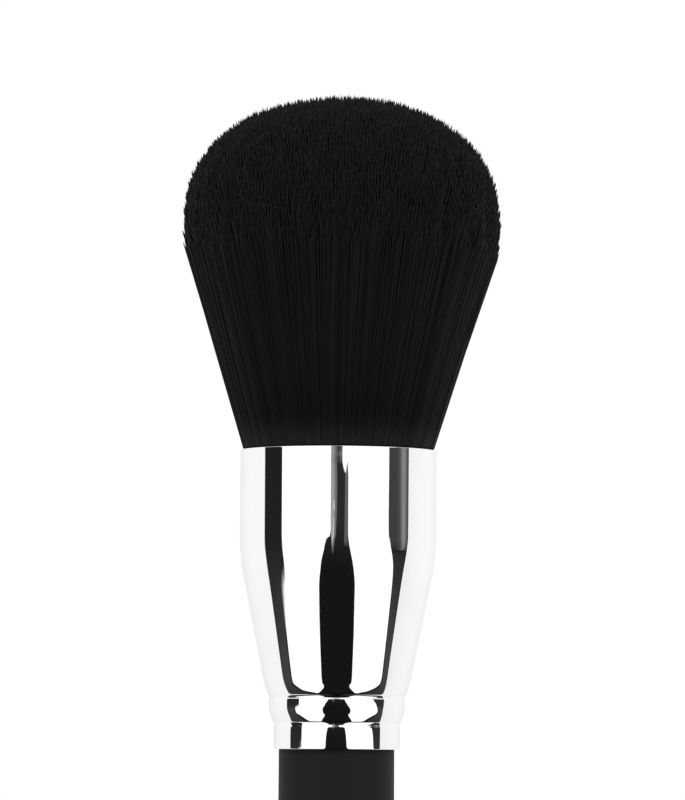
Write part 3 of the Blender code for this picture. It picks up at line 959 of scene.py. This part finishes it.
def framed(name, edges):
    """A softbox, and behind it a frame that shows FRAME_SIDE degrees beside and FRAME_DROP mm below it."""
    low = [edge for edge in edges if edge[0] < FRAME_TOP]
    frame_edges = [(z - FRAME_DROP, left - FRAME_SIDE, right + FRAME_SIDE) for z, left, right in low]
    card(f"frame_{name}", 1, frame_edges, (FRAME_TONE,))
    card(f"softbox_{name}", 2, edges, (BOX_LIGHT,))


framed("left", LEFT_BOX)
framed("right", RIGHT_BOX)
card(
    "reflector_corner", 3,
    [(103.5, -70.8, -66), (99.2, -71.8, -65.8), (96, -72.9, -66.3), (93.5, -74.2, -69),
     (91, -74.4, -71.5), (88, -74.6, -73.3)],
    (0.05, 0.2, 0.4, 0.53, 0.75),
    ((88, 1.5), (93, 1.4), (94.5, 1.25), (95.7, 1), (97.3, 0.7), (99.2, 0.33), (101.6, 0.13), (103.5, 0.06)),
)

# %% [markdown]
# Flags.
#
# The flags stand for grey cloth, and glow with painted light. They are painted palest at the height
# that the taper shows, for the softboxes' spill onto them, and darker above and below. Their tops are
# painted light again, and only the grooves show those. Behind the camera the room is almost black.

# %% Studio: flags and the dark behind the camera
card(
    "flag_left", 0,
    [(FLAG_TOP, -92.1, -60), (132, -91.7, -60), (112, -91.2, -60), (96, -91.7, -60), (88, -92.5, -55),
     (73, -93.3, -50), (62, -93.8, -30), (0, -94.6, -10)],
    (0.85, 1, 1, 1, 1, 1, 1, 1, 0.8),
    ((0, 0.02), (45, 0.034), (62, 0.05), (84, 0.054), (92, 0.038), (98, 0.027), (112, 0.02),
     (130, 0.0155), (148, 0.015), (156, 0.15), (FLAG_TOP, 0.2)),
)
card(
    "flag_right", 0,
    [(FLAG_TOP, 50, 85.6), (139, 50, 85.2), (133, 50, 84.9), (124, 50, 84.4), (111, 50, 83.4),
     (103, 50, 82.9), (86, 50, 82.9), (82, 50, 83.3), (75, 50, 84), (67.5, 40, 85.3),
     (59, 30, 86.8), (49, 20, 88.2), (0, 10, 90)],
    (0.7, 1, 1, 1, 1, 1, 1, 1, 0.95),
    ((0, 0.022), (45, 0.036), (62, 0.055), (85, 0.06), (91, 0.045), (98, 0.033), (112, 0.028),
     (118, 0.018), (130, 0.016), (148, 0.015), (156, 0.15), (FLAG_TOP, 0.2)),
)
card(
    "camera_dark", 1.5,
    [(134.5, -12, 11.5), (119, -16, 13), (100, -21, 18), (60, -26, 24), (44, -28, 26), (36, -34, 32),
     (24, -48, 46), (0, -62, 60)],
    (1,),
    ((0, 0.008), (60, 0.0078), (95, 0.008), (112, 0.012), (130, 0.017), (135, 0.02)),
)

# %% [markdown]
# What stands between the softboxes.
#
# Straight behind the camera the room is dark up to the top of its stand. Above that a narrow gap
# stays open between the softboxes, and shows a pale wall edge on the left and the side of a frame on
# the right. The gap beside the right softbox is closed by a grey screen with a lighter post in it.
# These small shapes are what makes the metal look photographed: a mirror that shows only clean
# rectangles looks computed. They are glowing cards, painted with the light and shade that a wall
# edge, a frame, a screen and its post would have. A clip, a hook and an arm of the stand get painted
# highlights: small glowing cards for the light they catch.

# %% Studio: the gaps
card("gap_dark", 0.5, [(TOP, -12, 12), (134, -14, 12.5)], (0.024,))
card(
    "gap_wall_edge", 3,
    [(TOP, -8.8, -2.0), (144, -8.8, -2.0), (141, -8.8, -1.6), (137, -8.8, -1.9), (134.6, -8.6, -2.6),
     (130, -7.9, -3.9), (120, -7.4, -4.8), (109, -6.9, -5.6)],
    (0.36, 0.38, 0.36, 0.24, 0.17, 0.13),
    ((109, 0.1), (114, 0.35), (120, 0.6), (130, 0.9), (134, 1), (144, 0.95), (144.8, 0.78),
     (145.7, 0.76), (146, 0.9), (146.6, 0.9), (147.2, 0.8), (TOP, 0.8)),
)
card(
    "gap_beam", 3,
    [(TOP, -2.0, 3.7), (145.6, -2.2, 3.7), (144.6, -1.4, 3.7)],
    (0.12, 0.07, 0.08, 0.15, 0.16, 0.14),
    ((144.6, 0.6), (145.5, 0.7), (145.75, 1), (146.03, 1.4), (146.3, 0.95), (146.6, 0.65), (147.1, 0.5),
     (147.8, 0.5), (149, 1.2), (TOP, 1.2)),
)
card(
    "gap_frame", 3,
    [(144.7, 8.9, 9.2), (143.7, 8.0, 9.8), (142.3, 6.8, 10.3), (134, 6.3, 10.4), (128, 5.9, 10.8),
     (119, 6.2, 11.4)],
    (0.09, 0.16, 0.12, 0.09, 0.12),
    ((119, 0.25), (126, 0.8), (134, 0.9), (142, 1)),
)
card("gap_clip", 4, [(138.6, -5.6, -4.9), (137.2, -5.6, -4.6)], (0.75,))
card(
    "gap_hook", 4,
    [(136, -5.4, -4.7), (130, -7.0, -5.9), (118, -7.4, -6.6)],
    (0.6, 0.75, 0.5),
    ((118, 0.35), (126, 0.8), (134, 1)),
)
card("camera_arm", 4, [(130, -13.2, -12.0), (117, -16.0, -14.6)], (0.1, 0.03), ((117, 0.3), (130, 1)))
card(
    "screen_right", 1.2,
    [(FLAG_TOP, 50, 85.7), (136, 56, 85.3), (128, 58, 84.7), (123, 60, 84), (120, 61.5, 82), (119, 62, 79)],
    (0.03, 0.045, 0.052, 0.051, 0.05, 0.053, 0.07, 0.085, 0.2, 0.27, 0.21, 0.1, 0.06),
    ((119, 0.6), (124, 0.85), (130, 1)),
)

# %% Studio: the pale wall behind, and a mat below
# Painted light: the wall glows. Its tones dip in one darker strip, and its shades are painted shade, a
# little darker towards the floor.
WALL_TONES = (
    0.95, 0.99, 1.01, 1.02, 1.01, 0.97, 0.93, 0.88, 0.35, 0.84, 0.87, 0.92, 0.97, 1.0, 1.02, 1.02, 1.01,
)
WALL_LEFT, WALL_RIGHT = 85, 269
card(
    "back_wall", -2, [(TOP, WALL_LEFT, WALL_RIGHT), (0, WALL_LEFT, WALL_RIGHT)], WALL_TONES,
    ((0, 0.94), (80, 0.97), (105, 0.98), (115, 1), (TOP, 1)),
)

# Painted light: the mat glows, brightest close to the brush at its two sides and dark straight in front.
# Rings of the mat under the brush: distance from the axis in mm, and brightness at its two sides.
# The brightness grows with the square of the azimuth, from nothing straight in front
MAT_RINGS = ((6, 0.35), (20, 0.3), (32, 0.03), (110, 0.02))
MAT_HALF = 92
MAT_COLUMNS = 47
mat_share = np.linspace(-1, 1, MAT_COLUMNS)
mat_azimuth = np.radians(MAT_HALF * mat_share)
mat_reach = np.array(MAT_RINGS)[:, :1] * MM
mat_level = np.full((len(MAT_RINGS), len(mat_azimuth)), MM)
mat = np.stack([mat_reach * np.sin(mat_azimuth), -mat_reach * np.cos(mat_azimuth), mat_level], axis=-1)
card_sheet("mat", mat, np.array(MAT_RINGS)[:, 1:] * mat_share**2)

# %% [markdown]
# The floor and the room.
#
# The floor is pale and matte, and keeps the shadow of the brush. Far from the brush it fades into plain
# white, so that no edge of it shows against the white room, and reflections see it as white too. The
# room is the world's colour: full white where the camera or a reflection looks at it, and a little less
# as light on matte surfaces, because two lamps give the rest.

# %% Studio: floor, room and lamps
FLOOR_RADIUS = 1.5
FADE_START = 0.35
FADE_END = 0.9
FLOOR_IN_METAL = 0.9
ROOM_LIGHT = 0.7
FLOOR_TONE = (0.88, 0.88, 0.88, 1)
FLOOR_RING_SHARES = (0.05, 0.2, 0.5, 1.0)
FLOOR_COLUMNS = 96
LAMP_SIZE = 0.5


def larger(node, link, first, second):
    """The larger of two numbers."""
    most = node("ShaderNodeMath")
    most.operation = "MAXIMUM"
    link(first, most.inputs[0])
    link(second, most.inputs[1])
    return most.outputs["Value"]


def pale_floor():
    """A matte floor that turns to plain white far out, and nearly so for reflections."""
    finish, surface, node, link = studio_finish("pale_floor")
    place = node("ShaderNodeTexCoord")
    reach = node("ShaderNodeVectorMath")
    reach.operation = "LENGTH"
    link(place.outputs["Object"], reach.inputs[0])
    fade = ramp(node, link, reach.outputs["Value"], FADE_START, FADE_END, "SMOOTHSTEP")
    rays = node("ShaderNodeLightPath")
    in_metal = node("ShaderNodeMath")
    in_metal.operation = "MULTIPLY"
    in_metal.inputs[1].default_value = FLOOR_IN_METAL
    link(rays.outputs["Is Glossy Ray"], in_metal.inputs[0])
    matte = node("ShaderNodeBsdfDiffuse", Color=FLOOR_TONE)
    white = node("ShaderNodeEmission")
    mix = node("ShaderNodeMixShader")
    link(larger(node, link, in_metal.outputs["Value"], fade), mix.inputs["Fac"])
    link(matte.outputs["BSDF"], mix.inputs[1])
    link(white.outputs["Emission"], mix.inputs[2])
    link(mix.outputs["Shader"], surface)
    return finish


def round_floor():
    """Rings of points round +Z at growing shares of FLOOR_RADIUS, and a disc in the middle."""
    reach = np.array(FLOOR_RING_SHARES)[:, None] * FLOOR_RADIUS
    around = math.tau * np.arange(FLOOR_COLUMNS)[None, :] / FLOOR_COLUMNS
    points = np.stack([reach * np.cos(around), reach * np.sin(around), reach * 0 * around], axis=-1)
    quads = ring_quads(len(reach), FLOOR_COLUMNS)
    piece = lay("floor", points.reshape(-1, 3), quads, np.arange(FLOOR_COLUMNS)[None, :])
    piece.data.materials.append(pale_floor())


def white_room():
    """The world: white for the camera, reflections and glass, and ROOM_LIGHT as light on matte surfaces."""
    room = bpy.data.worlds.new("white_room")
    node, link = node_tools(room)
    rays = node("ShaderNodeLightPath")
    seen = rays.outputs["Is Camera Ray"]
    for ray in ("Is Glossy Ray", "Is Transmission Ray"):
        seen = larger(node, link, seen, rays.outputs[ray])
    back = room.node_tree.nodes["Background"]
    back.inputs["Color"].default_value = (1, 1, 1, 1)
    link(between(node, link, seen, ROOM_LIGHT, 1), back.inputs["Strength"])
    bpy.context.scene.world = room


def lamp(name, place, power):
    """A square soft lamp aimed at the brush. Reflections don't see it: the cards stand in for it."""
    data = bpy.data.lights.new(name, "AREA")
    data.shape = "SQUARE"
    data.size = LAMP_SIZE
    data.energy = power
    light = bpy.data.objects.new(name, data)
    light.location = place
    light.rotation_mode = "QUATERNION"
    light.rotation_quaternion = (Vector((0, 0, MOUTH_HEIGHT)) - Vector(place)).to_track_quat("-Z", "Y")
    light.visible_glossy = False
    bpy.context.scene.collection.objects.link(light)


round_floor()
white_room()
lamp("lamp_left", place=(-0.6, -0.55, 0.55), power=2.0)
lamp("lamp_right", place=(0.6, -0.55, 0.45), power=1.6)
print(f"a floor {2 * FLOOR_RADIUS:.0f} m across, and {len(bpy.data.lights)} lamps")

# %% [markdown]
# The camera.
#
# A long lens stands back about 0.72 m, at the height of the ferrule's lower band, tilted up a little,
# so that the mouth of the ferrule is seen slightly from below. It is rolled by four tenths of a degree,
# because the brush leans that much in the picture.

# %% Camera
CAMERA_DISTANCE = 0.724
CAMERA_HEIGHT = 0.1034
AIM_HEIGHT = 0.149
CAMERA_SIDE = 0.49 * MM
HALF_ANGLE = math.radians(4.27)
ROLL = math.radians(0.38)

lens = bpy.data.cameras.new("long_lens")
lens.lens = lens.sensor_width / 2 / math.tan(HALF_ANGLE)
camera = bpy.data.objects.new("camera", lens)
bpy.context.scene.collection.objects.link(camera)
tilt = math.atan2(AIM_HEIGHT - CAMERA_HEIGHT, CAMERA_DISTANCE)
stand = Matrix.Translation((CAMERA_SIDE, -CAMERA_DISTANCE, CAMERA_HEIGHT))
camera.matrix_world = stand @ Matrix.Rotation(math.pi / 2 + tilt, 4, "X") @ Matrix.Rotation(ROLL, 4, "Z")
bpy.context.scene.camera = camera
bpy.context.scene.view_settings.view_transform = "Standard"
print(f"a lens of {lens.lens:.0f} mm, tilted up {math.degrees(tilt):.1f} degrees")
